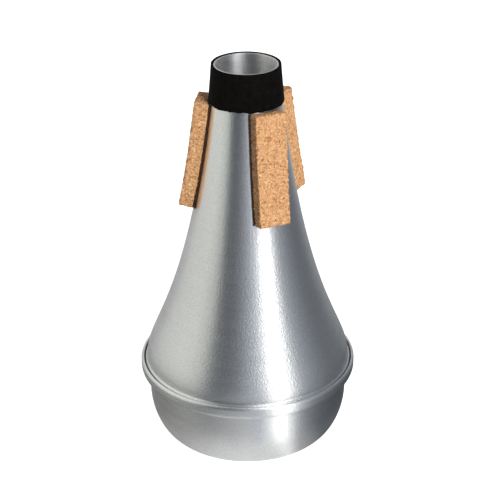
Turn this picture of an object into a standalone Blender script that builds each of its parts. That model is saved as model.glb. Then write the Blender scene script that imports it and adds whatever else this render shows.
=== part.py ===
"""A straight trumpet mute.

A spun aluminium body and a spun base cup meet in a rolled seam: the body's edge is
curled into a hook, and the cup's rim is rolled over it into the round bead. A rubber
band sleeves the mouth, and three cork strips are glued to the neck.

Metres, +Z up. The origin is the centre of the flat base that the mute stands on.
"""

import math

import bmesh
import bpy
import numpy as np
from mathutils import Matrix, Vector
from mathutils.geometry import interpolate_bezier

# Overall sizes
SEAM_RADIUS = 0.0500  # outside of the bead, the widest place
MOUTH_RADIUS = 0.0138  # outside of the metal at the open end
BODY_RISE = 0.1465  # from the middle of the bead up to the open end
CUP_DEPTH = 0.0330  # from the middle of the bead down to the flat base

# Sheet metal
SHEET = 0.0009
GAP = 0.0003  # between pieces that touch
DEBURR = 0.0002  # on the raw edges of the sheet

# Body line, from the open end to the shoulder above the seam; angles are from vertical
NECK_ANGLE = math.radians(5.5)
NECK_PULL = 0.0955  # how far the curve keeps the neck's direction
FLARE_ANGLE = math.radians(21.0)
FLARE_PULL = 0.0245
SHOULDER_HEIGHT = 0.0108  # above the middle of the bead
SHOULDER_RADIUS = 0.0080

# Rolled seam
ROLL_RADIUS = 0.0029  # outside of the cup's rolled rim, seen in section
HOOK_TURN = math.radians(222.0)  # how far the body's edge curls inside the roll
KINK_RADIUS = 0.0006  # under the roll, where it leaves the cup's wall

# Base cup: its wall's step in from the middle of the roll, and the bends to the flat base
CUP_WALL_STEP = 0.0012
CUP_BENDS = (
    (math.radians(12.0), 0.0370),
    (math.radians(18.0), 0.0295),
    (math.radians(18.0), 0.0145),
    (math.radians(42.0), 0.0032),
)

# Band round the mouth
BAND_HEIGHT = 0.0162
BAND_THICK = 0.0010
BAND_PROUD = 0.0003  # above the metal's open end
BAND_ROUND = 0.0003

# Cork strips, bent to the neck and hollowed to it, and the glue behind them
CORK_LENGTH = 0.0500
CORK_WIDTH = 0.0150
CORK_ROUND = 0.0004
CORK_BELOW_BAND = 0.0007
GLUE_LENGTH = 0.0486
GLUE_WIDTH = 0.0136
GLUE_FILM = 0.0004

# Each strip's place round the neck, how far its lower end leans to the side, and how far
# its face stands off the neck
CORK_PLACES = {
    "front": (math.radians(-62.0), math.radians(-1.8), 0.0050),
    "left": (math.radians(171.5), math.radians(3.0), 0.0065),
    "rear": (math.radians(46.0), math.radians(-3.2), 0.0063),
}

# Fineness
AROUND = 56
LINE_STEPS = 15
BAND_STEPS = 4
STRIP_STEPS = 5  # along a strip
HOLLOW_STEPS = 6  # across it
SLOPE_REACH = 0.0050  # of the neck's line, to each side, that gives its slope
BEND_STEP = math.radians(25.0)
SHARP_ANGLE = math.radians(50.0)
MERGE_DISTANCE = 0.00001
DOWN = math.radians(-90.0)

# Heights and radii that follow from the sizes above
RIM_Z = CUP_DEPTH + BODY_RISE
ROLL_CENTRE = SEAM_RADIUS - ROLL_RADIUS
HOOK_RADIUS = ROLL_RADIUS - SHEET - GAP - SHEET  # on the outward face of the sheet
BODY_WALL_RADIUS = ROLL_CENTRE - HOOK_RADIUS
CUP_WALL_RADIUS = ROLL_CENTRE - CUP_WALL_STEP
BAND_BOTTOM_Z = RIM_Z - BAND_HEIGHT
CORK_TOP_Z = BAND_BOTTOM_Z - CORK_BELOW_BAND
CORK_CLEARANCE = GAP + GLUE_FILM + GAP  # between a strip's hollow back and the neck


def clear_scene():
    """Remove whatever the scene holds."""
    for obj in list(bpy.context.scene.objects):
        bpy.data.objects.remove(obj)


def new_collection(name):
    """A new collection in the scene."""
    collection = bpy.data.collections.new(name)
    bpy.context.scene.collection.children.link(collection)
    return collection


def new_material(name, colour, roughness, metallic):
    """A Principled material of one colour."""
    material = bpy.data.materials.new(name)
    material.use_nodes = True
    shader = material.node_tree.nodes["Principled BSDF"]
    shader.inputs["Base Color"].default_value = (*colour, 1.0)
    shader.inputs["Roughness"].default_value = roughness
    shader.inputs["Metallic"].default_value = metallic
    return material


def bend(points, heading, turn, radius):
    """Add a round bend to a path of (radius, height) points, and return the new heading.

    A positive turn is counter-clockwise. The path leaves the bend along its tangent.
    """
    side = math.copysign(1.0, turn)
    start = points[-1]
    centre = start + side * radius * Vector((-math.sin(heading), math.cos(heading)))
    steps = max(2, math.ceil(abs(turn) / BEND_STEP))
    for step in range(1, steps + 1):
        now = heading + turn * step / steps
        points.append(centre - side * radius * Vector((-math.sin(now), math.cos(now))))
    return heading + turn


def body_line():
    """The body's outward face above the seam, from the open end down to the plain wall."""
    shoulder_in = SHOULDER_RADIUS * (1.0 - math.cos(FLARE_ANGLE))
    rim = Vector((MOUTH_RADIUS, RIM_Z))
    shoulder = Vector((BODY_WALL_RADIUS - shoulder_in, CUP_DEPTH + SHOULDER_HEIGHT))
    neck_pull = NECK_PULL * Vector((math.sin(NECK_ANGLE), -math.cos(NECK_ANGLE)))
    flare_pull = FLARE_PULL * Vector((math.sin(FLARE_ANGLE), -math.cos(FLARE_ANGLE)))
    curve = interpolate_bezier(
        rim, rim + neck_pull, shoulder - flare_pull, shoulder, LINE_STEPS
    )
    points = [Vector(point[:2]) for point in curve]
    bend(points, DOWN + FLARE_ANGLE, -FLARE_ANGLE, SHOULDER_RADIUS)
    return points


def body_radius(height):
    """The radius of the body's outward face at a height."""
    line = body_line()
    line.reverse()
    return float(np.interp(height, [p.y for p in line], [p.x for p in line]))


def body_outline():
    """The body's outward face, from the open end down to the end of the hook."""
    points = body_line()
    points.append(Vector((BODY_WALL_RADIUS, CUP_DEPTH)))
    bend(points, DOWN, HOOK_TURN, HOOK_RADIUS)
    return points


def cup_outline():
    """The cup's outward face, from the free edge of the roll down to the middle of the base."""
    edge_cosine = (BODY_WALL_RADIUS + GAP - ROLL_CENTRE) / ROLL_RADIUS
    edge_angle = math.acos(edge_cosine)
    reach = ROLL_RADIUS + KINK_RADIUS
    kink_centre = CUP_WALL_RADIUS + KINK_RADIUS
    leave_angle = -math.acos((kink_centre - ROLL_CENTRE) / reach)
    centre = Vector((ROLL_CENTRE, CUP_DEPTH))
    edge = Vector((math.cos(edge_angle), math.sin(edge_angle)))
    points = [centre + ROLL_RADIUS * edge]
    heading = bend(points, edge_angle + DOWN, leave_angle - edge_angle, ROLL_RADIUS)
    bend(points, heading, DOWN - heading, KINK_RADIUS)

    bends_height = 0.0
    angle = 0.0
    for turn, radius in CUP_BENDS:
        bends_height += radius * (math.sin(angle + turn) - math.sin(angle))
        angle += turn
    points.append(Vector((CUP_WALL_RADIUS, bends_height)))
    heading = DOWN
    for turn, radius in CUP_BENDS:
        heading = bend(points, heading, -turn, radius)
    points.append(Vector((0.0, 0.0)))
    return points


def turned(name, outline, collection):
    """An open surface turned round the Z axis from an outline that runs top to bottom."""
    mesh = bpy.data.meshes.new(name)
    mesh.from_pydata(
        [(point.x, 0.0, point.y) for point in outline],
        [(index, index + 1) for index in range(len(outline) - 1)],
        [],
    )
    obj = bpy.data.objects.new(name, mesh)
    collection.objects.link(obj)
    screw = obj.modifiers.new("Turn", "SCREW")
    screw.axis = "Z"
    screw.steps = AROUND
    screw.render_steps = AROUND
    screw.use_merge_vertices = True
    screw.merge_threshold = MERGE_DISTANCE
    screw.use_smooth_shade = True
    return obj


def add_wall(obj, thickness):
    """Give an open surface its wall, on the side away from its outward face."""
    solidify = obj.modifiers.new("Wall", "SOLIDIFY")
    solidify.thickness = thickness
    solidify.offset = -1.0
    solidify.use_even_offset = True
    solidify.use_quality_normals = True


def add_round(obj, width, segments):
    """Round an object's sharp edges."""
    bevel = obj.modifiers.new("Round", "BEVEL")
    bevel.width = width
    bevel.segments = segments
    bevel.limit_method = "ANGLE"
    bevel.angle_limit = SHARP_ANGLE
    bevel.harden_normals = True


def make_cone_body(collection):
    """The long flared shell, open at the mouth, with its lower edge hooked for the seam."""
    body = turned("cone_body", body_outline(), collection)
    add_wall(body, SHEET)
    add_round(body, DEBURR, 1)
    body.data.materials.append(new_material("spun_aluminium", (0.78, 0.78, 0.77), 0.28, 1.0))


def make_base_cup(collection):
    """The cup that closes the wide end, with its rim rolled over the body's hook."""
    cup = turned("base_cup", cup_outline(), collection)
    add_wall(cup, SHEET)
    add_round(cup, DEBURR, 1)
    cup.data.materials.append(new_material("spun_aluminium_cup", (0.76, 0.76, 0.75), 0.32, 1.0))


def make_neck_band(collection):
    """The rubber sleeve round the mouth, which follows the neck's taper."""
    heights = np.linspace(RIM_Z + BAND_PROUD, BAND_BOTTOM_Z, BAND_STEPS)
    outside = GAP + BAND_THICK
    outline = [Vector((body_radius(height) + outside, height)) for height in heights]
    band = turned("neck_band", outline, collection)
    add_wall(band, BAND_THICK)
    add_round(band, BAND_ROUND, 1)
    band.data.materials.append(new_material("black_rubber", (0.012, 0.011, 0.010), 0.85, 0.0))


def neck_station(down):
    """The neck's point that far down its line from the strips' top end, and the way out."""
    line = body_line()
    radii = [point.x for point in line]
    heights = [point.y for point in line]
    lengths = np.cumsum([0.0] + [(b - a).length for a, b in zip(line, line[1:])])
    start = np.interp(-CORK_TOP_Z, np.negative(heights), lengths)

    def line_point(length):
        return Vector((np.interp(length, lengths, radii), np.interp(length, lengths, heights)))

    middle = start + down
    along = line_point(middle + SLOPE_REACH) - line_point(middle - SLOPE_REACH)
    return line_point(middle), Vector((-along.y, along.x)).normalized()


def hollow(neck, across, height):
    """How high a surface that follows the round neck is above the neck's tangent."""
    return math.sqrt((neck + height) ** 2 - across**2) - neck


def unit_bar(name, collection):
    """A cube of size 1, cut along its length, Z, and across its width, Y."""
    mesh = bpy.data.meshes.new(name)
    bar = bmesh.new()
    bmesh.ops.create_cube(bar, size=1.0)
    for axis, steps in ((2, STRIP_STEPS), (1, HOLLOW_STEPS)):
        edges = [edge for edge in bar.edges if edge_span(edge, axis) > 0.5]
        bmesh.ops.subdivide_edges(bar, edges=edges, cuts=steps - 1)
    bar.to_mesh(mesh)
    bar.free()
    obj = bpy.data.objects.new(name, mesh)
    collection.objects.link(obj)
    return obj


def edge_span(edge, axis):
    """How far an edge goes along an axis."""
    first, last = edge.verts
    return abs(first.co[axis] - last.co[axis])


def lay_on_neck(bar, size, place, back_height, face_height, flat_face):
    """Give a unit bar its size, and bend it on to the neck.

    Its back follows the round neck at one height, and its face is flat across at the other
    height, or follows the neck as well.
    """
    width, length = size
    azimuth, lean = place
    turn = Matrix.Rotation(azimuth, 3, "Z")
    tilt = Matrix.Rotation(lean, 3, "X")
    for vertex in bar.data.vertices:
        is_face = vertex.co.x > 0.0
        flat = tilt @ Vector((0.0, vertex.co.y * width, vertex.co.z * length))
        point, out = neck_station(CORK_LENGTH / 2.0 - flat.z)
        height = face_height if is_face else back_height
        if not (is_face and flat_face):
            height = hollow(point.x / out.x, flat.y, height)
        seat = point + height * out
        vertex.co = turn @ Vector((seat.x, flat.y, seat.y))


def make_cork(name, place, stand_off, material, collection):
    """One cork strip, bent along the neck, with its back hollowed to it."""
    cork = unit_bar(name, collection)
    size = (CORK_WIDTH, CORK_LENGTH)
    lay_on_neck(cork, size, place, CORK_CLEARANCE, stand_off, True)
    add_round(cork, CORK_ROUND, 2)
    cork.data.materials.append(material)


def make_glue(name, place, material, collection):
    """The film of glue between a strip and the neck."""
    glue = unit_bar(name, collection)
    size = (GLUE_WIDTH, GLUE_LENGTH)
    lay_on_neck(glue, size, place, GAP, GAP + GLUE_FILM, False)
    glue.data.materials.append(material)


def main():
    clear_scene()
    parts = new_collection("trumpet_mute")
    make_cone_body(parts)
    make_base_cup(parts)
    make_neck_band(parts)
    cork_material = new_material("cork", (0.72, 0.45, 0.24), 0.85, 0.0)
    glue_material = new_material("brown_glue", (0.09, 0.045, 0.02), 0.5, 0.0)
    for name, (azimuth, lean, stand_off) in CORK_PLACES.items():
        place = (azimuth, lean)
        make_cork(f"cork_{name}", place, stand_off, cork_material, parts)
        make_glue(f"glue_{name}", place, glue_material, parts)


main()
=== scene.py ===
"""A straight trumpet mute, dressed for its picture.

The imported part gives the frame. Each sub-assembly of the mute is a class that holds its
sizes, models its piece with Blender's own operators and dresses it in a finish. All of it
is in metres, +Z up, with the origin in the middle of the flat base.
"""

import logging
import math
from dataclasses import dataclass
from enum import Enum
from functools import cache
from itertools import pairwise
from typing import Any, Callable, NamedTuple, Sequence

import bpy
from bpy.types import Material, Modifier, Node, NodeOutputs, NodeSocket, Object, World
from mathutils import Matrix, Vector
from mathutils.geometry import interpolate_bezier

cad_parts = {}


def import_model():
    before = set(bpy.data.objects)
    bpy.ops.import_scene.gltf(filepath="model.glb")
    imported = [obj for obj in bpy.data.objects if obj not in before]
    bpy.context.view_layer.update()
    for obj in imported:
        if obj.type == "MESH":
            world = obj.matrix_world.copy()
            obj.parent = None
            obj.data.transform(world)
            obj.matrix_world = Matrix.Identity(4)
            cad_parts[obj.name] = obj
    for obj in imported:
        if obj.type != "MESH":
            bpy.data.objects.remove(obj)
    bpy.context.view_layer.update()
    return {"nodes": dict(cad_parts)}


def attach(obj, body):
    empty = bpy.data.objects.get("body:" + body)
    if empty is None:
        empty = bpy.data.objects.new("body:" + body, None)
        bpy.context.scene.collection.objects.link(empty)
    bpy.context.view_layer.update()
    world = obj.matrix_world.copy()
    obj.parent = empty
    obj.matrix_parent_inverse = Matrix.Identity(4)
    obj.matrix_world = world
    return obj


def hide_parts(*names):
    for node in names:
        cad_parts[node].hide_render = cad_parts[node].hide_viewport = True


frame: dict[str, Any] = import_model()

log = logging.getLogger("mute")

Colour = tuple[float, float, float]
ROOT = "root"
DOWN = math.radians(-90.0)
MERGE_DISTANCE = 0.000001
SHARP_EDGE = math.radians(50.0)


class Slot(Enum):
    """The material slots."""

    ALUMINIUM = "spun_aluminium"
    RUBBER = "black_rubber"
    CORK = "cork"
    GLUE = "brown_glue"


class Seating(NamedTuple):
    """How a strip is glued on: its turn and lean, its face's stand-off, and how far its glue
    spreads past each side, partly squeezed-out glue and partly painted shadow.
    """

    azimuth: float
    lean: float
    stand_off: float
    squeeze: tuple[float, float]


class Place(Enum):
    """Where the strips sit on the neck."""

    # Each strip's last pair of widths is partly squeezed-out glue and partly painted shadow
    # beside the strip.
    FRONT = Seating(math.radians(-61.9), math.radians(-2.2), 0.0051, (0.0007, 0.0006))
    LEFT = Seating(math.radians(173.0), math.radians(1.6), 0.0062, (0.0005, 0.0006))
    REAR = Seating(math.radians(48.0), math.radians(-2.9), 0.0077, (0.0005, 0.0005))


@dataclass(frozen=True)
class MuteSizes:
    """The sizes that more than one piece of the mute is made to."""

    seam_radius: float = 0.0500
    mouth_radius: float = 0.0140
    wall_radius: float = 0.0471
    body_rise: float = 0.1465
    cup_depth: float = 0.0330
    sheet: float = 0.0009
    body_sheet: float = 0.0006
    deburr: float = 0.0002
    neck_angle: float = math.radians(5.9)
    neck_pull: float = 0.1123
    flare_angle: float = math.radians(2.0)
    flare_pull: float = 0.0144
    shoulder_height: float = 0.0049
    shoulder_radius: float = 0.0060
    band_height: float = 0.0164
    felt_steps: int = 60
    felt_bend: float = math.radians(5.0)

    @property
    def rim_z(self) -> float:
        """The height of the metal's open end."""
        return self.cup_depth + self.body_rise

    @property
    def band_bottom_z(self) -> float:
        """The height of the band's lower edge."""
        return self.rim_z - self.band_height

    @cache
    def body_line(self, steps: int, bend_step: float) -> list[Vector]:
        """The body's outward face, from the open end down to the plain wall.

        Args:
            steps: Points along the long curve.
            bend_step: The largest turn between two points of the shoulder.

        Returns:
            The (radius, height) points, top to bottom.
        """
        shoulder_in = self.shoulder_radius * (1.0 - math.cos(self.flare_angle))
        rim = Vector((self.mouth_radius, self.rim_z))
        shoulder = Vector(
            (self.wall_radius - shoulder_in, self.cup_depth + self.shoulder_height)
        )
        neck = Vector((math.sin(self.neck_angle), -math.cos(self.neck_angle)))
        flare = Vector((math.sin(self.flare_angle), -math.cos(self.flare_angle)))
        curve = interpolate_bezier(
            rim,
            rim + self.neck_pull * neck,
            shoulder - self.flare_pull * flare,
            shoulder,
            steps,
        )
        path = OutlinePath([Vector(point[:2]) for point in curve], bend_step)
        path.bend(DOWN + self.flare_angle, -self.flare_angle, self.shoulder_radius)
        return path.points

    def body_radius(self, height: float) -> float:
        """The radius of the body's outward face.

        Args:
            height: The height above the base.

        Returns:
            The radius at that height.
        """
        line = self.body_line(self.felt_steps, self.felt_bend)
        for above, below in pairwise(line):
            if below.y <= height <= above.y:
                share = (above.y - height) / (above.y - below.y)
                return above.x + share * (below.x - above.x)
        return line[0].x if height > line[0].y else line[-1].x

    def body_slope(self, height: float, reach: float = 0.004) -> float:
        """How far the body's face is from upright at a height.

        Args:
            height: The height above the base.
            reach: How far above and below it the face is felt.

        Returns:
            The angle, positive where the body widens downwards.
        """
        spread = self.body_radius(height - reach) - self.body_radius(height + reach)
        return math.atan2(spread, 2.0 * reach)


class OutlinePath:
    """A path of (radius, height) points, drawn with straight runs and round bends."""

    def __init__(self, points: Sequence[Vector], bend_step: float) -> None:
        """Start a path.

        Args:
            points: The points that it has so far.
            bend_step: The largest turn between two points of a bend.
        """
        self.points: list[Vector] = list(points)
        self.bend_step = bend_step

    def run(self, radius: float, height: float, steps: int = 1) -> None:
        """Draw a straight run.

        Args:
            radius: Where the run ends.
            height: Where the run ends.
            steps: Points along it.
        """
        start, end = self.points[-1], Vector((radius, height))
        self.points += [start.lerp(end, step / steps) for step in range(1, steps + 1)]

    def bend(self, heading: float, turn: float, radius: float) -> float:
        """Draw a round bend that starts along a heading.

        Args:
            heading: The direction of travel at the start.
            turn: How far it turns, counter-clockwise if positive.
            radius: The bend's radius.

        Returns:
            The heading at its end.
        """
        side = math.copysign(1.0, turn)
        start = self.points[-1]
        centre = start + side * radius * Vector((-math.sin(heading), math.cos(heading)))
        steps = max(2, math.ceil(abs(turn) / self.bend_step))
        for step in range(1, steps + 1):
            now = heading + turn * step / steps
            self.points.append(
                centre - side * radius * Vector((-math.sin(now), math.cos(now)))
            )
        return heading + turn


class Bench:
    """Short calls for the hand tools that several pieces need."""

    @staticmethod
    def deselect() -> None:
        """Deselect every object."""
        if bpy.context.mode != "OBJECT":
            bpy.ops.object.mode_set(mode="OBJECT")
        bpy.ops.object.select_all(action="DESELECT")

    @staticmethod
    def take(obj: Object) -> None:
        """Make one object the only selected one.

        Args:
            obj: The object.
        """
        Bench.deselect()
        obj.select_set(True)
        bpy.context.view_layer.objects.active = obj

    @staticmethod
    def name(obj: Object, name: str) -> None:
        """Name an object and its mesh."""
        obj.name = name
        obj.data.name = name

    @staticmethod
    def draw_outline(name: str, points: Sequence[Vector]) -> Object:
        """Draw an outline in the XZ plane, vertex by vertex, and stay in edit mode.

        Args:
            name: The new object's name.
            points: Its (radius, height) points.

        Returns:
            The object, in edit mode.
        """
        Bench.deselect()
        first = points[0]
        bpy.ops.mesh.primitive_plane_add(size=0.001, location=(first.x, 0.0, first.y))
        obj = bpy.context.active_object
        Bench.name(obj, name)
        bpy.ops.object.mode_set(mode="EDIT")
        bpy.ops.mesh.select_all(action="SELECT")
        bpy.ops.mesh.merge(type="CENTER")
        for last, point in pairwise(points):
            step = point - last
            bpy.ops.mesh.extrude_region_move(
                TRANSFORM_OT_translate={"value": (step.x, 0.0, step.y)}
            )
        return obj

    @staticmethod
    def spin(
        name: str,
        points: Sequence[Vector],
        steps: int,
        outward: bool = True,
    ) -> Object:
        """Spin an outline round the Z axis into an open surface.

        Args:
            name: The new object's name.
            points: The outline's (radius, height) points.
            steps: Faces round the spin.
            outward: Whether its faces point away from the axis.

        Returns:
            The surface, at the origin.
        """
        obj = Bench.draw_outline(name, points)
        bpy.ops.mesh.select_all(action="SELECT")
        bpy.ops.mesh.spin(
            steps=steps, angle=-math.tau, center=(0.0, 0.0, 0.0), axis=(0.0, 0.0, 1.0)
        )
        bpy.ops.mesh.select_all(action="SELECT")
        bpy.ops.mesh.remove_doubles(threshold=MERGE_DISTANCE)
        bpy.ops.mesh.normals_make_consistent(inside=False)
        bpy.ops.object.mode_set(mode="OBJECT")
        Bench.place(obj, obj.matrix_world.copy())
        if Bench.points_out(obj) != outward:
            bpy.ops.object.mode_set(mode="EDIT")
            bpy.ops.mesh.select_all(action="SELECT")
            bpy.ops.mesh.flip_normals()
            bpy.ops.object.mode_set(mode="OBJECT")
        return obj

    @staticmethod
    def points_out(obj: Object) -> bool:
        """Whether the surface's long wall points away from the axis.

        Args:
            obj: A surface spun round the Z axis.

        Returns:
            True if most of its area faces outwards.
        """
        facing = 0.0
        for face in obj.data.polygons:
            out = Vector((face.center.x, face.center.y, 0.0))
            facing += face.normal.dot(out) * face.area
        return facing > 0.0

    @staticmethod
    def place(obj: Object, matrix: Matrix) -> None:
        """Put an object in place, with the place in its mesh.

        Args:
            obj: The object.
            matrix: Where it goes.
        """
        Bench.take(obj)
        obj.matrix_world = matrix
        bpy.ops.object.transform_apply(location=True, rotation=True, scale=True)

    @staticmethod
    def group(obj: Object, name: str, weigh: Callable[[Vector], float]) -> None:
        """Add a vertex group that is weighed by place.

        Args:
            obj: The object.
            name: The group's name.
            weigh: Gives a vertex's weight, from 0 to 1.
        """
        group = obj.vertex_groups.new(name=name)
        for vertex in obj.data.vertices:
            weight = weigh(vertex.co)
            if weight > 0.0:
                group.add([vertex.index], min(weight, 1.0), "REPLACE")

    @staticmethod
    def round_edges(obj: Object, width: float, segments: int) -> None:
        """Add a bevel on the sharp edges.

        Args:
            obj: The object.
            width: The bevel's width.
            segments: Its segments.
        """
        bevel = obj.modifiers.new("Round", "BEVEL")
        bevel.width = width
        bevel.segments = segments
        bevel.limit_method = "ANGLE"
        bevel.angle_limit = SHARP_EDGE

    @staticmethod
    def regrid(obj: Object, pitch: float) -> None:
        """Add a voxel remesh with cells of one size.

        Args:
            obj: The object.
            pitch: The cells' size.
        """
        remesh = obj.modifiers.new("Grid", "REMESH")
        remesh.mode = "VOXEL"
        remesh.voxel_size = pitch

    @staticmethod
    def displace(
        obj: Object,
        name: str,
        kind: str,
        depth: float,
        level: float,
        group: str = "",
        **settings: Any,
    ) -> Modifier:
        """Add a displacement by a texture of its own.

        Args:
            obj: The object.
            name: The modifier's and the texture's name.
            kind: The texture's type.
            depth: How far the texture's whole range moves the skin.
            level: The texture's value that moves nothing.
            group: The vertex group that it keeps to.
            settings: The texture's own properties.

        Returns:
            The modifier.
        """
        modifier = obj.modifiers.new(name, "DISPLACE")
        modifier.texture = bpy.data.textures.new(name, kind)
        for key, value in settings.items():
            setattr(modifier.texture, key, value)
        modifier.mid_level = level
        modifier.strength = depth
        modifier.vertex_group = group
        return modifier

    @staticmethod
    def finish_modifiers(obj: Object) -> None:
        """Apply all of an object's modifiers, in order.

        Args:
            obj: The object.
        """
        Bench.take(obj)
        for modifier in list(obj.modifiers):
            bpy.ops.object.modifier_apply(modifier=modifier.name)

    @staticmethod
    def smooth(obj: Object, angle: float = math.radians(40.0)) -> None:
        """Shade an object smooth, apart from its sharp edges."""
        Bench.take(obj)
        bpy.ops.object.shade_smooth_by_angle(angle=angle)


class Noise(NamedTuple):
    """A noise: blobs for each metre, its octaves and how strong the finer ones are."""

    scale: float
    detail: float = 2.0
    roughness: float = 0.5


class Span(NamedTuple):
    """A range of values, and the range that it is moved to."""

    low: float
    high: float
    to_low: float = 0.0
    to_high: float = 1.0


class Rings(NamedTuple):
    """Brush lines: how many to a metre, how they break on their way round, their octaves."""

    fineness: float
    breaks: float
    detail: float
    roughness: float = 0.55


class NodeBoard:
    """A node tree, with short calls for the nodes that the finishes and the studio share."""

    def __init__(self, owner: Material | World) -> None:
        """Start on the nodes of a material or a world.

        Args:
            owner: What the nodes belong to.
        """
        owner.use_nodes = True
        self.tree = owner.node_tree

    def add(self, kind: str, **settings: Any) -> Node:
        """Add a node.

        Args:
            kind: The node's type.
            settings: Its own properties.

        Returns:
            The node.
        """
        node = self.tree.nodes.new(kind)
        for key, value in settings.items():
            setattr(node, key, value)
        return node

    def feed(self, socket: NodeSocket, value: Any) -> None:
        """Link a socket into an input, or set the input's own value.

        Args:
            socket: The input.
            value: An output socket, a number or a vector.
        """
        if isinstance(value, NodeSocket):
            self.tree.links.new(value, socket)
        else:
            socket.default_value = value

    def math(self, operation: str, *values: Any) -> NodeSocket:
        """Work out a number.

        Args:
            operation: The Math node's operation.
            values: Its inputs, as sockets or numbers.

        Returns:
            The result's socket.
        """
        node = self.add("ShaderNodeMath", operation=operation)
        for socket, value in zip(node.inputs, values):
            self.feed(socket, value)
        return node.outputs[0]

    def vector(self, operation: str, *values: Any) -> NodeSocket:
        """Work out a vector, or a vector's length.

        Args:
            operation: The Vector Math node's operation.
            values: Its inputs, as sockets or vectors.

        Returns:
            The result's socket.
        """
        node = self.add("ShaderNodeVectorMath", operation=operation)
        for socket, value in zip(node.inputs, values):
            self.feed(socket, value)
        return node.outputs["Value" if operation == "LENGTH" else "Vector"]

    def scaled(self, vector: Any, scale: float) -> NodeSocket:
        """A vector times a number.

        Args:
            vector: The vector's socket.
            scale: The number.

        Returns:
            The result's socket.
        """
        node = self.add("ShaderNodeVectorMath", operation="SCALE")
        self.feed(node.inputs[0], vector)
        self.feed(node.inputs["Scale"], scale)
        return node.outputs["Vector"]

    def noise(self, vector: Any, noise: Noise, w: Any = None) -> NodeSocket:
        """A noise value.

        Args:
            vector: The coordinates.
            noise: How it is set.
            w: A fourth coordinate.

        Returns:
            The value's socket, about 0.5 on average.
        """
        dimensions = "3D" if w is None else "4D"
        node = self.add("ShaderNodeTexNoise", noise_dimensions=dimensions)
        self.feed(node.inputs["Vector"], vector)
        self.feed(node.inputs["Scale"], noise.scale)
        self.feed(node.inputs["Detail"], noise.detail)
        self.feed(node.inputs["Roughness"], noise.roughness)
        if w is not None:
            self.feed(node.inputs["W"], w)
        return node.outputs["Fac"]

    def cells(self, vector: Any, scale: float, feature: str = "F1") -> Node:
        """A Voronoi texture of random cells.

        Args:
            vector: The coordinates.
            scale: Cells for each metre.
            feature: What it measures.

        Returns:
            The node, whose outputs are Distance and, for F1, Color.
        """
        node = self.add("ShaderNodeTexVoronoi", feature=feature, voronoi_dimensions="3D")
        self.feed(node.inputs["Vector"], vector)
        self.feed(node.inputs["Scale"], scale)
        return node

    def remap(self, value: Any, span: Span) -> NodeSocket:
        """Move a value from one range to another, and hold it there.

        Args:
            value: The value's socket.
            span: The two ranges.

        Returns:
            The result's socket.
        """
        node = self.add("ShaderNodeMapRange", clamp=True)
        for socket, number in zip(node.inputs, (value, *span)):
            self.feed(socket, number)
        return node.outputs["Result"]

    def ramp(self, value: Any, stops: Sequence[tuple[float, Colour]]) -> NodeSocket:
        """Colour a value.

        Args:
            value: The value's socket.
            stops: Positions and their colours, in order.

        Returns:
            The colour's socket.
        """
        node = self.add("ShaderNodeValToRGB")
        elements = node.color_ramp.elements
        while len(elements) < len(stops):
            elements.new(0.5)
        for element, (position, colour) in zip(elements, stops):
            element.position = position
            element.color = (*colour, 1.0)
        self.feed(node.inputs["Fac"], value)
        return node.outputs["Color"]

    def mix(
        self, factor: Any, first: Any, second: Any, blend: str = "MIX"
    ) -> NodeSocket:
        """Mix two colours.

        Args:
            factor: How much of the second.
            first: A colour, or its socket.
            second: A colour, or its socket.
            blend: The blend type.

        Returns:
            The colour's socket.
        """
        node = self.add("ShaderNodeMix", data_type="RGBA", blend_type=blend)
        self.feed(node.inputs["Factor"], factor)
        for socket, value in ((node.inputs["A"], first), (node.inputs["B"], second)):
            self.feed(socket, (*value, 1.0) if isinstance(value, tuple) else value)
        return node.outputs["Result"]

    def bump(self, height: Any, depth: float, normal: Any = None) -> NodeSocket:
        """A normal for a height.

        Args:
            height: The height's socket.
            depth: How deep it is, in metres.
            normal: A normal that it adds to.

        Returns:
            The normal's socket.
        """
        node = self.add("ShaderNodeBump")
        self.feed(node.inputs["Height"], height)
        self.feed(node.inputs["Distance"], depth)
        if normal is not None:
            self.feed(node.inputs["Normal"], normal)
        return node.outputs["Normal"]

    def parts(self, kind: str, value: Any) -> NodeOutputs:
        """A vector's or a colour's parts.

        Args:
            kind: The node that takes it apart.
            value: The vector's or colour's socket.

        Returns:
            The parts' sockets.
        """
        node = self.add(kind)
        self.feed(node.inputs[0], value)
        return node.outputs

    def glow(self, colour: Any, strength: Any) -> NodeSocket:
        """Light that a surface gives off.

        Args:
            colour: Its colour.
            strength: Its strength.

        Returns:
            The emission's socket.
        """
        node = self.add("ShaderNodeEmission")
        self.feed(node.inputs["Color"], colour)
        self.feed(node.inputs["Strength"], strength)
        return node.outputs[0]

    def seen(self) -> NodeSocket:
        """Tell the rays that show a background: camera, glossy and transmission rays.

        Returns:
            A socket that is 1 for them and 0 for the rest.
        """
        path = self.add("ShaderNodeLightPath").outputs
        either = self.math("MAXIMUM", path["Is Camera Ray"], path["Is Glossy Ray"])
        return self.math("MAXIMUM", either, path["Is Transmission Ray"])


class Paint(NodeBoard):
    """A material's nodes, which start as one Principled BSDF."""

    def __init__(self, name: str) -> None:
        """Start a material.

        Args:
            name: The material's name.
        """
        self.material = bpy.data.materials.new(name)
        super().__init__(self.material)
        self.shader = self.tree.nodes["Principled BSDF"]
        self.coordinates = self.add("ShaderNodeTexCoord").outputs["Object"]

    def dress(self, **sockets: Any) -> Material:
        """Feed the Principled BSDF.

        Args:
            sockets: Values or sockets by input name, with _ for a space.

        Returns:
            The finished material.
        """
        for key, value in sockets.items():
            self.feed(self.shader.inputs[key.replace("_", " ")], value)
        return self.material

    def cover(self, surface: NodeSocket) -> Material:
        """Show another surface in place of the Principled BSDF.

        Args:
            surface: The surface's socket.

        Returns:
            The finished material.
        """
        self.feed(self.tree.nodes["Material Output"].inputs["Surface"], surface)
        return self.material


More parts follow.
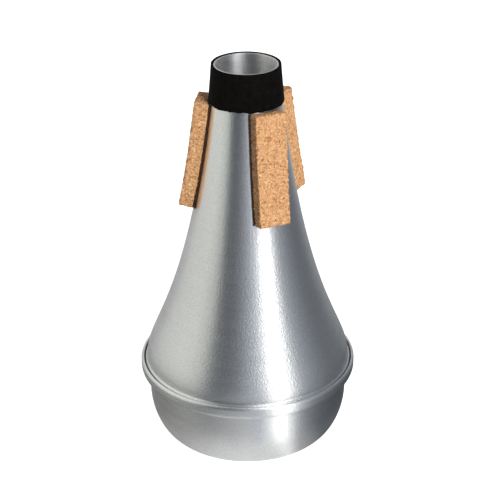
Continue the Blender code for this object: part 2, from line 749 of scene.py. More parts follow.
@dataclass(frozen=True)
class SpunAluminium:
    """Bare aluminium, spun on a lathe and brushed round its axis."""

    name: str = "spun_aluminium"
    light: Colour = (0.875, 0.885, 0.88)
    dull: Colour = (0.825, 0.83, 0.825)
    pit: Colour = (0.60, 0.61, 0.62)
    # The bore's colours are brighter than the outside's as painted light for the light that
    # reaches into the mouth; the brush marks in them are real.
    bore_painted_bright_light: Colour = (0.97, 0.97, 0.96)
    bore_painted_bright_dull: Colour = (0.80, 0.80, 0.79)
    roughness: float = 0.34
    bore_roughness: float = 0.19
    anisotropy: float = 0.95
    quarter_turn: float = 0.25
    fine_rings: Rings = Rings(2600.0, 5.0, 2.0)
    broad_rings: Rings = Rings(420.0, 1.6, 3.0)
    broad_share: float = 0.6
    fine_share: float = 0.4
    line_depth: float = 0.000016
    grain: Noise = Noise(1250.0, 2.0, 0.6)
    grain_depth: float = 0.000095
    sand: Noise = Noise(1500.0, 1.0)
    line_tone: Span = Span(0.38, 0.62)
    sand_tone: Span = Span(0.42, 0.62, 0.0, 0.34)
    bore_tone: Span = Span(0.40, 0.60)
    line_rough: Span = Span(0.36, 0.64, -0.03, 0.03)
    grain_rough: Span = Span(0.35, 0.65, -0.035, 0.035)

    def make(self) -> Material:
        """Make the material.

        Returns:
            The material.
        """
        board = Paint(self.name)
        flat = board.vector("MULTIPLY", board.coordinates, (1.0, 1.0, 0.0))
        around = board.vector("NORMALIZE", flat)
        radius = board.vector("LENGTH", flat)
        up = board.parts("ShaderNodeSeparateXYZ", board.coordinates)["Z"]

        fine = self.rings(board, around, radius, up, self.fine_rings)
        broad = self.rings(board, around, radius, up, self.broad_rings)
        grain = board.noise(board.coordinates, self.grain)

        marks = board.math(
            "ADD",
            board.math("MULTIPLY", broad, self.broad_share),
            board.math("MULTIPLY", fine, self.fine_share),
        )
        colour = board.mix(board.remap(marks, self.line_tone), self.dull, self.light)
        sand = board.noise(board.coordinates, self.sand)
        colour = board.mix(board.remap(sand, self.sand_tone), colour, self.pit)
        bore = board.add("ShaderNodeAttribute", attribute_name="bore").outputs["Fac"]
        # Painted light: inside the bore the colour is painted brighter than outside, over its
        # real brush marks.
        bore_painted_bright_streaks = board.mix(
            board.remap(marks, self.bore_tone), self.bore_painted_bright_dull, self.bore_painted_bright_light
        )
        colour = board.mix(bore, colour, bore_painted_bright_streaks)
        rough = board.math("ADD", board.remap(marks, self.line_rough), self.roughness)
        rough = board.math("ADD", board.remap(grain, self.grain_rough), rough)
        rough = board.math("ADD", board.math("MULTIPLY", bore, self.bore_roughness), rough)
        normal = board.bump(fine, self.line_depth)
        normal = board.bump(grain, self.grain_depth, normal)
        tangent = board.vector("CROSS_PRODUCT", (0.0, 0.0, 1.0), around)
        return board.dress(
            Base_Color=colour,
            Metallic=1.0,
            Roughness=rough,
            Anisotropic=self.anisotropy,
            Anisotropic_Rotation=self.quarter_turn,
            Tangent=tangent,
            Normal=normal,
        )

    @staticmethod
    def rings(
        board: Paint, around: Any, radius: Any, up: Any, rings: Rings
    ) -> NodeSocket:
        """Noise that is drawn out into rings round the axis.

        Args:
            board: The material's nodes.
            around: The direction out from the axis.
            radius: The distance from the axis.
            up: The height.
            rings: How the rings are set.

        Returns:
            The noise's socket.
        """
        turned = board.scaled(around, rings.breaks)
        lift = board.add("ShaderNodeCombineXYZ")
        board.feed(lift.inputs["Z"], board.math("MULTIPLY", up, rings.fineness))
        place = board.vector("ADD", turned, lift.outputs[0])
        drawn_out = Noise(1.0, rings.detail, rings.roughness)
        return board.noise(place, drawn_out, board.math("MULTIPLY", radius, rings.fineness))


@dataclass(frozen=True)
class BlackRubber:
    """Matt black rubber sleeving."""

    name: str = "black_rubber"
    light: Colour = (0.0050, 0.0041, 0.0036)
    dark: Colour = (0.0018, 0.0014, 0.0012)
    specular: float = 0.08
    blotches: Noise = Noise(380.0, 3.0, 0.6)
    blotch_tone: Span = Span(0.35, 0.7)
    blotch_depth: float = 0.00012
    skin: Noise = Noise(2600.0, 2.0, 0.6)
    skin_rough: Span = Span(0.3, 0.7, 0.72, 0.9)
    skin_depth: float = 0.00004

    def make(self) -> Material:
        """Make the material.

        Returns:
            The material.
        """
        board = Paint(self.name)
        blotches = board.noise(board.coordinates, self.blotches)
        skin = board.noise(board.coordinates, self.skin)
        colour = board.mix(board.remap(blotches, self.blotch_tone), self.dark, self.light)
        normal = board.bump(skin, self.skin_depth)
        return board.dress(
            Base_Color=colour,
            Roughness=board.remap(skin, self.skin_rough),
            Specular_IOR_Level=self.specular,
            Normal=board.bump(blotches, self.blotch_depth, normal),
        )


@dataclass(frozen=True)
class PressedCork:
    """Cork granules pressed into a strip and sanded."""

    name: str = "cork"
    granules: float = 1250.0
    shades: tuple[tuple[float, Colour], ...] = (
        (0.00, (0.38, 0.17, 0.065)),
        (0.14, (0.56, 0.29, 0.125)),
        (0.40, (0.69, 0.385, 0.175)),
        (0.68, (0.77, 0.46, 0.225)),
        (0.86, (0.74, 0.36, 0.20)),
        (1.00, (0.86, 0.59, 0.29)),
    )
    binder: Colour = (0.42, 0.195, 0.080)
    speck: Colour = (0.13, 0.048, 0.017)
    specular: float = 0.25
    stir_scale: float = 1900.0
    stir_reach: float = 0.0005
    crumb_share: float = 2.3
    crumb_tone: Span = Span(0.0, 1.0, 0.80, 1.10)
    binder_tone: Span = Span(0.0, 0.12, 0.55, 0.0)
    spots: Noise = Noise(2100.0)
    spot_tone: Span = Span(0.62, 0.70, 0.0, 0.9)
    pores: Noise = Noise(5200.0, 2.0, 0.6)
    pore_rough: Span = Span(0.3, 0.7, 0.78, 0.95)
    joint_height: Span = Span(0.0, 0.2)
    depth: float = 0.00006

    def make(self) -> Material:
        """Make the material.

        Returns:
            The material.
        """
        board = Paint(self.name)
        stir = board.add("ShaderNodeTexNoise")
        board.feed(stir.inputs["Vector"], board.coordinates)
        board.feed(stir.inputs["Scale"], self.stir_scale)
        stirred = board.vector(
            "ADD", board.coordinates, board.scaled(stir.outputs["Color"], self.stir_reach)
        )

        big = board.cells(stirred, self.granules).outputs["Color"]
        small = board.cells(stirred, self.granules * self.crumb_share).outputs["Color"]
        granule = board.parts("ShaderNodeSeparateColor", big)[0]
        crumb = board.parts("ShaderNodeSeparateColor", small)[0]

        colour = board.ramp(granule, self.shades)
        shade = board.remap(crumb, self.crumb_tone)
        shades = board.add("ShaderNodeCombineXYZ")
        for socket in shades.inputs:
            board.feed(socket, shade)
        colour = board.mix(1.0, colour, shades.outputs[0], "MULTIPLY")

        edge = board.cells(stirred, self.granules, "DISTANCE_TO_EDGE").outputs["Distance"]
        colour = board.mix(board.remap(edge, self.binder_tone), colour, self.binder)
        spots = board.noise(stirred, self.spots)
        colour = board.mix(board.remap(spots, self.spot_tone), colour, self.speck)

        pores = board.noise(board.coordinates, self.pores)
        height = board.math("ADD", board.remap(edge, self.joint_height), pores)
        return board.dress(
            Base_Color=colour,
            Roughness=board.remap(pores, self.pore_rough),
            Specular_IOR_Level=self.specular,
            Normal=board.bump(height, self.depth),
        )


@dataclass(frozen=True)
class DriedGlue:
    """Dark brown contact cement, dried with a slight skin, coloured near black so that it also
    carries painted shade in the crevice beside each strip.
    """

    name: str = "brown_glue"
    # Near-black glue colours: partly the glue's own brown, partly painted shade of the
    # crevice.
    dark: Colour = (0.020, 0.006, 0.003)
    light: Colour = (0.075, 0.028, 0.012)
    runs: Noise = Noise(420.0, 3.0, 0.55)
    run_tone: Span = Span(0.35, 0.65)
    run_rough: Span = Span(0.3, 0.7, 0.42, 0.62)
    skin: Noise = Noise(1600.0)
    skin_depth: float = 0.00006

    def make(self) -> Material:
        """Make the material.

        Returns:
            The material.
        """
        board = Paint(self.name)
        runs = board.noise(board.coordinates, self.runs)
        skin = board.noise(board.coordinates, self.skin)
        return board.dress(
            Base_Color=board.mix(board.remap(runs, self.run_tone), self.dark, self.light),
            Roughness=board.remap(runs, self.run_rough),
            Normal=board.bump(skin, self.skin_depth),
        )


class Piece:
    """One separate piece of the mute, which stands for one CAD node."""

    slot: Slot
    node: str

    def dress(self, piece: Object, material: Material) -> None:
        """Give the piece its finish and its place in the frame.

        Args:
            piece: The piece.
            material: Its material.
        """
        piece.data.materials.clear()
        piece.data.materials.append(material)
        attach(piece, ROOT)
        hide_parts(self.node)
        log.info("%s: %d faces", piece.name, len(piece.data.polygons))


@dataclass
class SpunShell(Piece):
    """Any piece that is turned round the mute's axis and has a wall."""

    node: str
    sizes: MuteSizes
    wall: float
    rounding: float
    round_segments: int = 3
    around: int = 192

    def outline(self) -> list[Vector]:
        """The outward face as (radius, height) points."""
        raise NotImplementedError

    def build(self) -> Object:
        """Spin the outline, give it its wall and round its edges.

        Returns:
            The finished piece.
        """
        shell = Bench.spin(self.node, self.outline(), self.around)
        solidify = shell.modifiers.new("Wall", "SOLIDIFY")
        solidify.thickness = self.wall
        solidify.offset = -1.0
        solidify.use_even_offset = True
        solidify.use_quality_normals = True
        Bench.round_edges(shell, self.rounding, self.round_segments)
        Bench.finish_modifiers(shell)
        self.detail(shell)
        Bench.smooth(shell)
        return shell

    def detail(self, shell: Object) -> None:
        """Add what is the piece's own."""


@dataclass
class ConeBody(SpunShell):
    """The long flared shell, open at the mouth, its foot flanged and turned down inside."""

    slot = Slot.ALUMINIUM
    line_steps: int = 60
    flange_top: float = 0.0043
    flange_turn: float = math.radians(50.0)
    flange_radii: tuple[float, float] = (0.0010, 0.0011)
    flange_run: float = 0.0003
    foot: float = 0.0008
    foot_steps: int = 3
    bend_step: float = math.radians(7.0)
    bore_bottom: float = 0.045

    def outline(self) -> list[Vector]:
        """The outward face, from the open end down to the end of the turned-down foot.

        Returns:
            The (radius, height) points.
        """
        sizes = self.sizes
        path = OutlinePath(sizes.body_line(self.line_steps, self.bend_step), self.bend_step)
        path.run(sizes.wall_radius, sizes.cup_depth + self.flange_top)
        heading = path.bend(DOWN, self.flange_turn, self.flange_radii[0])
        end = path.points[-1]
        path.run(
            end.x + self.flange_run * math.cos(heading),
            end.y + self.flange_run * math.sin(heading),
        )
        path.bend(heading, -self.flange_turn, self.flange_radii[1])
        path.run(path.points[-1].x, sizes.cup_depth - self.foot, self.foot_steps)
        return path.points

    def detail(self, shell: Object) -> None:
        """Mark the bore, whose finish is rougher than the outside's and whose colour is
        painted brighter, as painted light for the light that reaches into the mouth.

        Args:
            shell: The body.
        """
        bore = shell.data.attributes.new("bore", "FLOAT", "POINT")
        sizes = self.sizes
        for vertex, value in zip(shell.data.vertices, bore.data):
            at = vertex.co
            depth = sizes.body_radius(at.z) - math.hypot(at.x, at.y)
            inside = depth > self.wall / 2.0 and at.z > self.bore_bottom
            value.value = 1.0 if inside else 0.0


@dataclass
class BaseCup(SpunShell):
    """The cup that closes the wide end, its rim rolled up and over the body's flange."""

    slot = Slot.ALUMINIUM
    wall_radius: float = 0.0461
    edge_angle: float = math.radians(75.0)
    upper_radius: float = 0.0015
    lower_radius: float = 0.0027
    upper_z: float = 0.0021
    lower_z: float = -0.0002
    kink_radius: float = 0.0002
    bends: tuple[tuple[float, float], ...] = (
        (math.radians(12.0), 0.0370),
        (math.radians(18.0), 0.0295),
        (math.radians(18.0), 0.0145),
        (math.radians(42.0), 0.0032),
    )
    bend_step: float = math.radians(4.0)
    roll_bend_step: float = math.radians(8.0)
    roll_steps: int = 3
    wall_steps: int = 4
    flat_steps: int = 8

    def outline(self) -> list[Vector]:
        """The outward face, from the roll's free edge down to the middle of the base.

        Returns:
            The (radius, height) points.
        """
        sizes = self.sizes
        upper = Vector(
            (sizes.seam_radius - self.upper_radius, sizes.cup_depth + self.upper_z)
        )
        edge = Vector((math.cos(self.edge_angle), math.sin(self.edge_angle)))
        path = OutlinePath([upper + self.upper_radius * edge], self.roll_bend_step)
        path.bend(self.edge_angle + DOWN, -self.edge_angle, self.upper_radius)
        path.run(sizes.seam_radius, sizes.cup_depth + self.lower_z, self.roll_steps)

        step = sizes.seam_radius - self.lower_radius - self.wall_radius
        reach = self.lower_radius + self.kink_radius
        leave_angle = -math.acos((self.kink_radius - step) / reach)
        heading = path.bend(DOWN, leave_angle, self.lower_radius)
        path.bend(heading, DOWN - heading, self.kink_radius)

        height, angle = 0.0, 0.0
        for turn, radius in self.bends:
            height += radius * (math.sin(angle + turn) - math.sin(angle))
            angle += turn
        path.run(self.wall_radius, height, self.wall_steps)
        path.bend_step = self.bend_step
        heading = DOWN
        for turn, radius in self.bends:
            heading = path.bend(heading, -turn, radius)
        path.run(0.0, 0.0, self.flat_steps)
        return path.points


@dataclass
class NeckBand(SpunShell):
    """The rubber sleeve round the mouth, stretched thinner where the neck is wider."""

    slot = Slot.RUBBER
    proud: float = 0.0003
    outside: tuple[float, float] = (0.0012, 0.00075)
    steps: int = 24
    ragged: float = 0.0011
    ragged_reach: float = 0.0012
    ragged_blobs: float = 0.0021

    def outline(self) -> list[Vector]:
        """The outward face, from just above the rim to the lower edge.

        Returns:
            The (radius, height) points.
        """
        sizes = self.sizes
        top = sizes.rim_z + self.proud
        at_top, at_bottom = self.outside
        points = []
        for step in range(self.steps + 1):
            share = step / self.steps
            height = top + (sizes.band_bottom_z - top) * share
            outside = at_top + (at_bottom - at_top) * share
            points.append(Vector((sizes.body_radius(height) + outside, height)))
        return points

    def detail(self, shell: Object) -> None:
        """Make the cut lower edge slightly ragged.

        Args:
            shell: The band.
        """
        bottom = self.sizes.band_bottom_z
        Bench.group(
            shell, "lower_edge", lambda at: 1.0 - (at.z - bottom) / self.ragged_reach
        )
        ragged = Bench.displace(
            shell,
            "Ragged",
            "CLOUDS",
            self.ragged,
            0.5,
            "lower_edge",
            noise_scale=self.ragged_blobs,
        )
        ragged.direction = "Z"
        Bench.finish_modifiers(shell)


@dataclass
class NeckSeat:
    """The line down the neck that a strip and its glue are laid along."""

    place: Place
    sizes: MuteSizes
    length: float = 0.0500
    below_band: float = 0.0004
    sections: int = 12
    plug_above: float = 0.002
    plug_below: float = 0.060
    plug_steps: int = 32
    plug_around: int = 160
    lift_reach: float = 0.012

    @property
    def turned(self) -> Matrix:
        """The turn round the neck to the strip's place."""
        return Matrix.Rotation(self.place.value.azimuth, 4, "Z")

    @property
    def leaned(self) -> Matrix:
        """The lean about the way out from the strip's middle, before the turn.

        Returns:
            The lean, as a matrix.
        """
        point, slope = self.stations()[self.sections // 2]
        out = Vector((math.cos(slope), 0.0, math.sin(slope)))
        move = Matrix.Translation(point)
        return move @ Matrix.Rotation(self.place.value.lean, 4, out) @ move.inverted()

    def stations(self, short: float = 0.0) -> list[tuple[Vector, float]]:
        """Points down the neck, at azimuth 0.

        Args:
            short: How far they stay inside each end of the strip.

        Returns:
            The points and the neck's slope at each, from the top end down.
        """
        height = self.sizes.band_bottom_z - self.below_band - short
        step = (self.length - 2.0 * short) / self.sections
        found = []
        for _ in range(self.sections + 1):
            slope = self.sizes.body_slope(height)
            found.append((Vector((self.sizes.body_radius(height), 0.0, height)), slope))
            height -= step * math.cos(slope)
        return found

    def sweep(
        self,
        name: str,
        inside: float,
        outside: float,
        width: float,
        short: float = 0.0,
        aside: float = 0.0,
    ) -> Object:
        """Extrude a bar down the neck, and turn each section of it to the neck's slope.

        Args:
            name: The new object's name.
            inside: How far its back is inside the neck.
            outside: How far its face is from the neck.
            width: Its width.
            short: How far it stays inside each end of the strip.
            aside: How far its middle is from the strip's.

        Returns:
            The bar, leaned, at azimuth 0.
        """
        stations = self.stations(short)
        top, slope = stations[0]
        origin = (0.0, 0.0, 0.0)
        Bench.deselect()
        bpy.ops.mesh.primitive_plane_add(size=1.0, location=origin)
        bar = bpy.context.active_object
        Bench.name(bar, name)
        bpy.ops.object.mode_set(mode="EDIT")
        bpy.ops.mesh.select_all(action="SELECT")
        bpy.ops.transform.resize(
            value=(inside + outside, width, 1.0), center_override=origin
        )
        bpy.ops.transform.translate(value=((outside - inside) / 2.0, aside, 0.0))
        bpy.ops.transform.rotate(value=slope, orient_axis="Y", center_override=origin)
        bpy.ops.transform.translate(value=top)
        for (above, slope_above), (below, slope_below) in pairwise(stations):
            bpy.ops.mesh.extrude_region_move(
                TRANSFORM_OT_translate={"value": below - above}
            )
            bpy.ops.transform.rotate(
                value=slope_below - slope_above, orient_axis="Y", center_override=below
            )
        bpy.ops.mesh.select_all(action="SELECT")
        bpy.ops.mesh.normals_make_consistent(inside=False)
        bpy.ops.object.mode_set(mode="OBJECT")
        Bench.place(bar, self.leaned)
        return bar

    def plug(self, clearance: float, lift: float) -> Object:
        """A solid that stands for the neck.

        Args:
            clearance: How much bigger than the neck it is.
            lift: How much more it is at the strip's lower end.

        Returns:
            The solid, which is removed after its cut.
        """
        top = self.sizes.band_bottom_z + self.plug_above
        bottom = self.sizes.band_bottom_z - self.plug_below
        foot = self.stations()[-1][0].z
        points = [Vector((0.0, top))]
        for step in range(self.plug_steps + 1):
            height = top + (bottom - top) * step / self.plug_steps
            near = max(0.0, 1.0 - max(height - foot, 0.0) / self.lift_reach)
            radius = self.sizes.body_radius(height) + clearance + lift * near**2
            points.append(Vector((radius, height)))
        points.append(Vector((0.0, bottom)))
        return Bench.spin("neck_plug", points, self.plug_around)

    def cut(
        self, bar: Object, clearance: float, lift: float = 0.0, inside: bool = False
    ) -> None:
        """Cut a bar to the round neck.

        Args:
            bar: The bar, leaned, at azimuth 0.
            clearance: The cut's distance from the neck.
            lift: How much more that is at the strip's lower end.
            inside: Whether the part nearer to the neck is kept, not the rest.
        """
        plug = self.plug(clearance, lift)
        cut = bar.modifiers.new("Neck", "BOOLEAN")
        cut.operation = "INTERSECT" if inside else "DIFFERENCE"
        cut.solver = "EXACT"
        cut.object = plug
        Bench.finish_modifiers(bar)
        bpy.data.objects.remove(plug)


@dataclass
class CorkStrip(Piece):
    """A strip of pressed cork, bent along the neck, with its back hollowed to it."""

    slot = Slot.CORK
    seat: NeckSeat
    width: float = 0.0150
    below_back: float = 0.0020
    rounding: float = 0.0003
    round_segments: int = 2
    clearance: float = 0.0009
    lift: float = 0.0005
    pitch: float = 0.00030
    worn_reach: float = 0.0009
    smooth_angle: float = math.radians(75.0)
    joint_blobs: float = 0.0011
    joint_depth: float = 0.00007
    pit_blobs: float = 0.0010
    pit_depth: float = 0.00020
    chip_blobs: float = 0.0015
    chip_depth: float = 0.00038

    @property
    def node(self) -> str:
        """The CAD node's name."""
        return f"cork_{self.seat.place.name.lower()}"

    def build(self) -> Object:
        """Bend the strip, hollow its back, and give it its crumbly skin.

        Returns:
            The finished strip.
        """
        stand_off = self.seat.place.value.stand_off
        strip = self.seat.sweep(self.node, self.below_back, stand_off, self.width)
        self.seat.cut(strip, self.clearance, self.lift)
        Bench.round_edges(strip, self.rounding, self.round_segments)
        Bench.regrid(strip, self.pitch)
        Bench.finish_modifiers(strip)
        self.weigh_edges(strip)
        Bench.place(strip, self.seat.turned)
        self.crumble(strip)
        Bench.smooth(strip, self.smooth_angle)
        return strip

    def weigh_edges(self, strip: Object) -> None:
        """Weigh the skin by how near it is to an edge of the face.

        Args:
            strip: The strip, leaned, at azimuth 0.
        """
        upright = self.seat.leaned.inverted()
        sizes, stand_off = self.seat.sizes, self.seat.place.value.stand_off
        stations = self.seat.stations()
        (head, head_slope), (foot, foot_slope) = stations[0], stations[-1]
        from_head = Vector((math.sin(head_slope), 0.0, -math.cos(head_slope)))
        to_foot = Vector((math.sin(foot_slope), 0.0, -math.cos(foot_slope)))
        tilt = math.cos((head_slope + foot_slope) / 2.0)

        def weight(leaned: Vector) -> float:
            """How near a place is to an edge.

            Args:
                leaned: The place, on the leaned strip.

            Returns:
                1 at an edge, falling below 0 inside.
            """
            at = upright @ leaned
            side = self.width / 2.0 - abs(at.y)
            end = min((at - head).dot(from_head), (foot - at).dot(to_foot))
            face = stand_off - (at.x - sizes.body_radius(at.z)) * tilt
            near = sorted((side, end, max(face, 0.0)))[:2]
            return 1.0 - max(near) / self.worn_reach

        Bench.group(strip, "edges", weight)

    def crumble(self, strip: Object) -> None:
        """Sink the joints between the granules, open small pits, and wear the edges.

        Args:
            strip: The strip, in its place.
        """
        Bench.displace(
            strip,
            "Joints",
            "VORONOI",
            self.joint_depth,
            1.0,
            noise_scale=self.joint_blobs,
            weight_1=-1.0,
            weight_2=1.0,
            noise_intensity=2.0,
        )
        Bench.displace(
            strip,
            "Pits",
            "CLOUDS",
            self.pit_depth,
            1.0,
            noise_scale=self.pit_blobs,
            noise_depth=1,
            intensity=1.35,
            contrast=4.0,
        )
        Bench.displace(
            strip,
            "Chips",
            "CLOUDS",
            self.chip_depth,
            1.0,
            "edges",
            noise_scale=self.chip_blobs,
            contrast=2.5,
        )
        Bench.finish_modifiers(strip)


@dataclass
class GlueBed(Piece):
    """The film of glue between a strip's hollow back and the round neck.

    A thinner film of it lies past the strip's two long sides: partly glue that has squeezed
    out, partly a dark sheet painted as the shadow where the strip meets the neck.
    """

    slot = Slot.GLUE
    seat: NeckSeat
    width: float = 0.0145
    short: float = 0.0003
    skin: float = 0.00003
    film: float = 0.00085
    lift: float = 0.0005
    glue_and_shadow_skirt: float = 0.00042
    below_back: float = 0.0034
    pitch: float = 0.00021
    soften_passes: int = 3
    lumps: float = 0.00020
    lump_blobs: float = 0.0024
    lump_level: float = 0.55
    smooth_angle: float = math.radians(80.0)

    @property
    def node(self) -> str:
        """The CAD node's name."""
        return f"glue_{self.seat.place.name.lower()}"

    def spread(self, film: float, lift: float, low: float, high: float) -> Object:
        """Spread one even film on the neck.

        Args:
            film: Its thickness.
            lift: How much thicker it is at the strip's lower end.
            low: Where it ends across the strip, on the side of negative Y.
            high: Where it ends on the other side.

        Returns:
            The film, leaned, at azimuth 0.
        """
        outside = self.skin + film + 2.0 * lift
        middle = (low + high) / 2.0
        bar = self.seat.sweep(
            self.node, self.below_back, outside, high - low, self.short, middle
        )
        self.seat.cut(bar, self.skin + film, lift, inside=True)
        self.seat.cut(bar, self.skin)
        return bar

    def build(self) -> Object:
        """Spread the bed and the thinner film beside it, of glue and painted shadow, melt them
        into one, and let it lump.

        Returns:
            The finished bed.
        """
        half = self.width / 2.0
        low, high = self.seat.place.value.squeeze
        bed = self.spread(self.film, self.lift, -half, half)
        # The thinner film beside the strip is partly squeezed-out glue and partly a dark sheet
        # painted as the strip's shadow on the neck.
        glue_and_shadow_skirt = self.spread(self.glue_and_shadow_skirt, 0.0, -half - low, half + high)
        Bench.take(bed)
        glue_and_shadow_skirt.select_set(True)
        bpy.ops.object.join()
        Bench.name(bed, self.node)
        Bench.place(bed, self.seat.turned)
        Bench.regrid(bed, self.pitch)
        soften = bed.modifiers.new("Soften", "SMOOTH")
        soften.iterations = self.soften_passes
        Bench.displace(
            bed, "Lumps", "CLOUDS", self.lumps, self.lump_level, noise_scale=self.lump_blobs
        )
        Bench.finish_modifiers(bed)
        Bench.smooth(bed, self.smooth_angle)
        return bed


class Tint(Enum):
    """The tints of the studio's cards."""

    WARM = (0.985, 1.0, 0.955)
    COOL = (0.90, 0.965, 1.07)
    WHITE = (1.0, 1.0, 1.0)


Run = tuple[Tint, tuple[tuple[float, float], ...]]


@dataclass(frozen=True)
class RingCard:
    """A ring of card round the mute that only shows in reflections.

    Its runs say how light it is on its way round, each in one tint. Their stops are an
    azimuth, in degrees from the camera and positive to its right, and a strength.
    """

    name: str
    profile: tuple[tuple[float, float], tuple[float, float]]
    runs: tuple[Run, ...]
    around: int = 96

    def build(self) -> Object:
        """Spin the card, paint it, and hide it from all but reflections.

        Returns:
            The card.
        """
        points = [Vector(point) for point in self.profile]
        card = Bench.spin(self.name, points, self.around, outward=False)
        card.data.materials.append(self.paint())
        card.visible_camera = False
        card.visible_diffuse = False
        card.visible_shadow = False
        card.visible_transmission = False
        return card

    def paint(self) -> Material:
        """Make the glowing paint that changes round the ring.

        Returns:
            The paint's material.
        """
        board = Paint(self.name)
        apart = board.parts("ShaderNodeSeparateXYZ", board.coordinates)
        toward_camera = board.math("MULTIPLY", apart["Y"], -1.0)
        azimuth = board.math("ARCTAN2", apart["X"], toward_camera)
        share = board.math("ADD", board.math("MULTIPLY", azimuth, 1.0 / math.tau), 0.5)
        peak = max(strength for _, stops in self.runs for _, strength in stops)
        stops = [
            (degrees / 360.0 + 0.5, tuple(strength / peak * part for part in tint.value))
            for tint, run in self.runs
            for degrees, strength in run
        ]
        return board.cover(board.glow(board.ramp(share, stops), peak))


@dataclass
class Studio:
    """The pale floor, the world, the cards and the lamps."""

    cards: Sequence[RingCard]
    floor_size: float = 12.0
    floor_colour: Colour = (0.62, 0.62, 0.62)
    floor_roughness: float = 0.9
    floor_specular: float = 0.1
    floor_lift: float = 0.90
    white: Colour = (1.0, 1.0, 1.0)
    world_fill: float = 0.10
    lamp_aim: tuple[float, float, float] = (0.0, 0.0, 0.09)

    def build(self) -> None:
        """Set up all of it."""
        self.make_floor()
        self.make_world()
        for card in self.cards:
            card.build()
        self.make_lamps()

    def make_floor(self) -> None:
        """The floor, which looks white and keeps the mute's shadow."""
        Bench.deselect()
        bpy.ops.mesh.primitive_plane_add(size=self.floor_size, location=(0.0, 0.0, 0.0))
        floor = bpy.context.active_object
        Bench.name(floor, "studio_floor")
        board = Paint("studio_floor")
        board.dress(
            Base_Color=(*self.floor_colour, 1.0),
            Roughness=self.floor_roughness,
            Specular_IOR_Level=self.floor_specular,
        )
        lift = board.math("MULTIPLY", board.seen(), self.floor_lift)
        both = board.add("ShaderNodeAddShader")
        board.feed(both.inputs[0], board.shader.outputs[0])
        board.feed(both.inputs[1], board.glow((*self.white, 1.0), lift))
        floor.data.materials.append(board.cover(both.outputs[0]))

    def make_world(self) -> None:
        """A world that looks white and fills the shadows softly."""
        world = bpy.data.worlds.new("studio_world")
        bpy.context.scene.world = world
        board = NodeBoard(world)
        background = board.tree.nodes["Background"]
        strength = board.remap(board.seen(), Span(0.0, 1.0, self.world_fill, 1.0))
        board.feed(background.inputs["Color"], (*self.white, 1.0))
        board.feed(background.inputs["Strength"], strength)

    def lamp(
        self,
        name: str,
        azimuth: float,
        elevation: float,
        distance: float,
        size: tuple[float, float],
        watts: float,
    ) -> None:
        """Hang one soft lamp, aimed at the middle of the mute.

        Args:
            name: The lamp's name.
            azimuth: Degrees to the camera's right.
            elevation: Degrees above the horizon.
            distance: From the mute.
            size: Its width and height.
            watts: Its power.
        """
        turn, rise = math.radians(azimuth) + DOWN, math.radians(elevation)
        level = math.cos(rise)
        out = Vector((math.cos(turn) * level, math.sin(turn) * level, math.sin(rise)))
        Bench.deselect()
        aim = Vector(self.lamp_aim)
        bpy.ops.object.light_add(type="AREA", location=aim + distance * out)
        lamp = bpy.context.active_object
        lamp.name = name
        lamp.rotation_euler = (-out).to_track_quat("-Z", "Y").to_euler()
        lamp.data.shape = "RECTANGLE"
        lamp.data.size, lamp.data.size_y = size
        lamp.data.energy = watts
        lamp.visible_glossy = False

    def make_lamps(self) -> None:
        """Hang the key lamp, the fill lamp and the lamp for the mute's far side."""
        self.lamp("key_lamp", 28.0, 27.0, 1.0, (0.30, 0.60), 10.3)
        self.lamp("top_lamp", -20.0, 72.0, 1.1, (0.9, 0.9), 1.0)
        self.lamp("back_lamp", 185.0, 10.0, 1.0, (0.6, 0.6), 6.5)


@dataclass(frozen=True)
class PhotoCamera:
    """The camera, where the photograph was taken from."""

    elevation: float = math.radians(26.955)
    distance: float = 0.6681
    target: tuple[float, float, float] = (0.00133, 0.0, 0.0900)
    focal_pixels: float = 1466.4
    frame_pixels: float = 500.0
    roll: float = math.radians(-0.25)
    sensor: float = 36.0
    nearest: float = 0.01
    farthest: float = 100.0

    def build(self) -> None:
        """Add the camera and make it the scene's."""
        target = Vector(self.target)
        back = Vector((0.0, -math.cos(self.elevation), math.sin(self.elevation)))
        Bench.deselect()
        bpy.ops.object.camera_add(location=target + self.distance * back)
        camera = bpy.context.active_object
        camera.name = "photo_camera"
        aim = (-back).to_track_quat("-Z", "Y").to_matrix().to_4x4()
        turn = aim @ Matrix.Rotation(self.roll, 4, "Z")
        camera.matrix_world = Matrix.Translation(target + self.distance * back) @ turn
        camera.data.sensor_width = self.sensor
        camera.data.lens = self.focal_pixels * self.sensor / self.frame_pixels
        camera.data.clip_start = self.nearest
        camera.data.clip_end = self.farthest
        bpy.context.scene.camera = camera


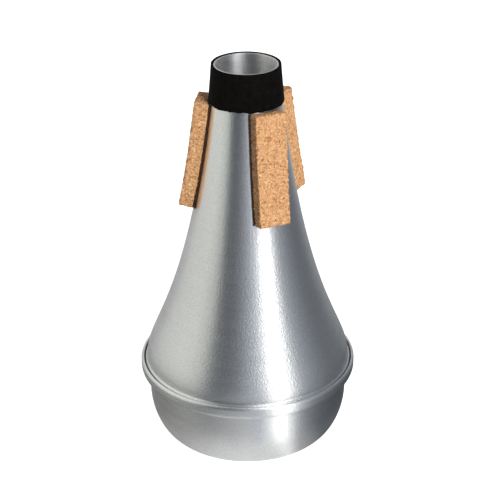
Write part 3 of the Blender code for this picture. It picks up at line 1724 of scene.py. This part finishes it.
def studio_cards() -> list[RingCard]:
    """The cards that the metal reflects: round the mute, on the floor and overhead.

    Returns:
        The cards.
    """
    low_wall = (
        (Tint.WHITE, ((-180, 0.75), (-155, 0.62), (-132, 0.62))),
        (
            Tint.WARM,
            (
                (-118, 0.84), (-95, 0.86), (-72, 0.89), (-60, 0.74), (-49, 0.58),
            ),
        ),
        (
            Tint.COOL,
            (
                (-41, 0.10), (-22, 0.075), (-12, 0.17), (0, 0.38), (12, 0.56),
                (20, 0.72),
            ),
        ),
        (Tint.WHITE, ((27, 1.40), (33, 2.50), (40, 2.20), (48, 0.95))),
        (
            Tint.COOL,
            (
                (57, 0.50), (76, 0.28), (95, 0.155), (118, 0.19), (140, 0.38),
            ),
        ),
        (Tint.WHITE, ((160, 0.55), (180, 0.75))),
    )
    high_wall = (
        (Tint.WHITE, ((-180, 0.70), (-150, 0.70))),
        (Tint.WARM, ((-120, 0.85), (-60, 0.85), (-50, 0.60))),
        (Tint.COOL, ((-42, 0.12), (-12, 0.15), (10, 0.50))),
        (Tint.WHITE, ((22, 1.20), (30, 3.20), (41, 3.20))),
        (Tint.COOL, ((51, 0.70), (80, 0.25), (120, 0.25), (150, 0.60))),
        (Tint.WHITE, ((180, 0.70),)),
    )
    far_floor = (
        (Tint.WHITE, ((-180, 0.30), (-110, 0.32))),
        (Tint.WARM, ((-75, 0.34), (-60, 0.30))),
        (
            Tint.COOL,
            (
                (-42, 0.20), (-25, 0.25), (-10, 0.36), (3, 0.44), (14, 0.55),
            ),
        ),
        (Tint.WHITE, ((25, 1.50), (34, 1.90), (43, 0.90))),
        (Tint.COOL, ((54, 0.40), (80, 0.22), (120, 0.12))),
        (Tint.WHITE, ((150, 0.18), (180, 0.30))),
    )
    mid_floor = (
        (
            Tint.WHITE,
            (
                (-180, 0.07), (-110, 0.05), (-75, 0.07), (-42, 0.22), (-22, 0.50),
                (0, 0.66),
            ),
        ),
        (Tint.COOL, ((10, 0.58),)),
        (Tint.WHITE, ((20, 1.10), (27, 2.10), (34, 1.10))),
        (
            Tint.COOL,
            (
                (43, 0.32), (56, 0.12), (72, 0.06), (100, 0.04), (140, 0.05),
            ),
        ),
        (Tint.WHITE, ((180, 0.07),)),
    )
    near_floor = (
        (
            Tint.WHITE,
            (
                (-180, 0.15), (-90, 0.17), (-50, 0.40), (-20, 0.82), (0, 0.90),
                (20, 0.74), (29, 0.98), (38, 0.46),
            ),
        ),
        (Tint.COOL, ((60, 0.16), (110, 0.10))),
        (Tint.WHITE, ((180, 0.20),)),
    )
    roof = (
        (Tint.WHITE, ((-180, 0.95),)),
        (Tint.WARM, ((-120, 0.90), (-60, 0.80))),
        (Tint.COOL, ((-42, 0.18), (-10, 0.22), (12, 0.60))),
        (Tint.WHITE, ((22, 1.40), (29, 4.60), (41, 3.80))),
        (Tint.COOL, ((52, 0.75), (80, 0.28), (125, 0.35))),
        (Tint.WHITE, ((150, 0.85), (180, 0.95))),
    )
    low, top, wall = 0.0008, 0.520, 0.380
    return [
        RingCard("card_near_floor", ((0.038, low), (0.062, low)), near_floor),
        RingCard("card_mid_floor", ((0.062, low), (0.110, low)), mid_floor),
        RingCard("card_far_floor", ((0.110, low), (wall, low)), far_floor),
        RingCard("card_low_wall", ((wall, low), (wall, 0.240)), low_wall),
        RingCard("card_high_wall", ((wall, 0.240), (wall, top)), high_wall),
        RingCard("card_roof", ((wall, top), (0.040, 0.640)), roof),
    ]


def main() -> None:
    """Build the mute's pieces in order, then the studio round them."""
    logging.basicConfig(level=logging.INFO, format="%(name)s %(message)s")
    sizes = MuteSizes()
    aluminium = SpunAluminium().make()
    rubber = BlackRubber().make()
    cork = PressedCork().make()
    glue = DriedGlue().make()

    body = ConeBody("cone_body", sizes, wall=sizes.body_sheet, rounding=sizes.deburr)
    body.dress(body.build(), aluminium)
    cup = BaseCup("base_cup", sizes, wall=sizes.sheet, rounding=sizes.deburr)
    cup.dress(cup.build(), aluminium)
    band = NeckBand("neck_band", sizes, wall=0.0007, rounding=0.00025)
    band.dress(band.build(), rubber)
    for place in Place:
        seat = NeckSeat(place, sizes)
        strip = CorkStrip(seat)
        strip.dress(strip.build(), cork)
        bed = GlueBed(seat)
        bed.dress(bed.build(), glue)

    Studio(studio_cards()).build()
    PhotoCamera().build()
    bpy.context.scene.view_settings.view_transform = "Standard"


if __name__ == "__main__":
    main()
